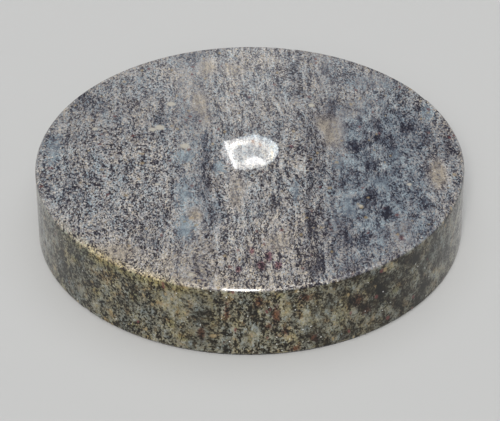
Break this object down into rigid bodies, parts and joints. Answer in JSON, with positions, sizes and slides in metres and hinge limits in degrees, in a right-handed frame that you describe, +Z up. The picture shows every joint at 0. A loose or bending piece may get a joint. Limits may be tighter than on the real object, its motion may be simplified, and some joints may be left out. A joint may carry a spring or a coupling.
{
  "type": "granite slab",
  "caption": "Round polished granite slab for leather tooling: a thick stone disc with softly rounded edges on a thin felt base.",
  "frame": {"origin": "middle of the felt's underside, where the slab stands on the bench", "axes": "+Z up through the disc's axis, out of the polished working face; the stone's bands run along Y"},
  "size_m": [0.1016, 0.1016, 0.0191],
  "materials": {
    "granite": "polished",
    "adhesive": "satin",
    "felt": "matte"
  },
  "bodies": {
    "root": {"granite_disc": "granite", "adhesive_film": "adhesive", "felt_base": "felt"}
  },
  "joints": []
}
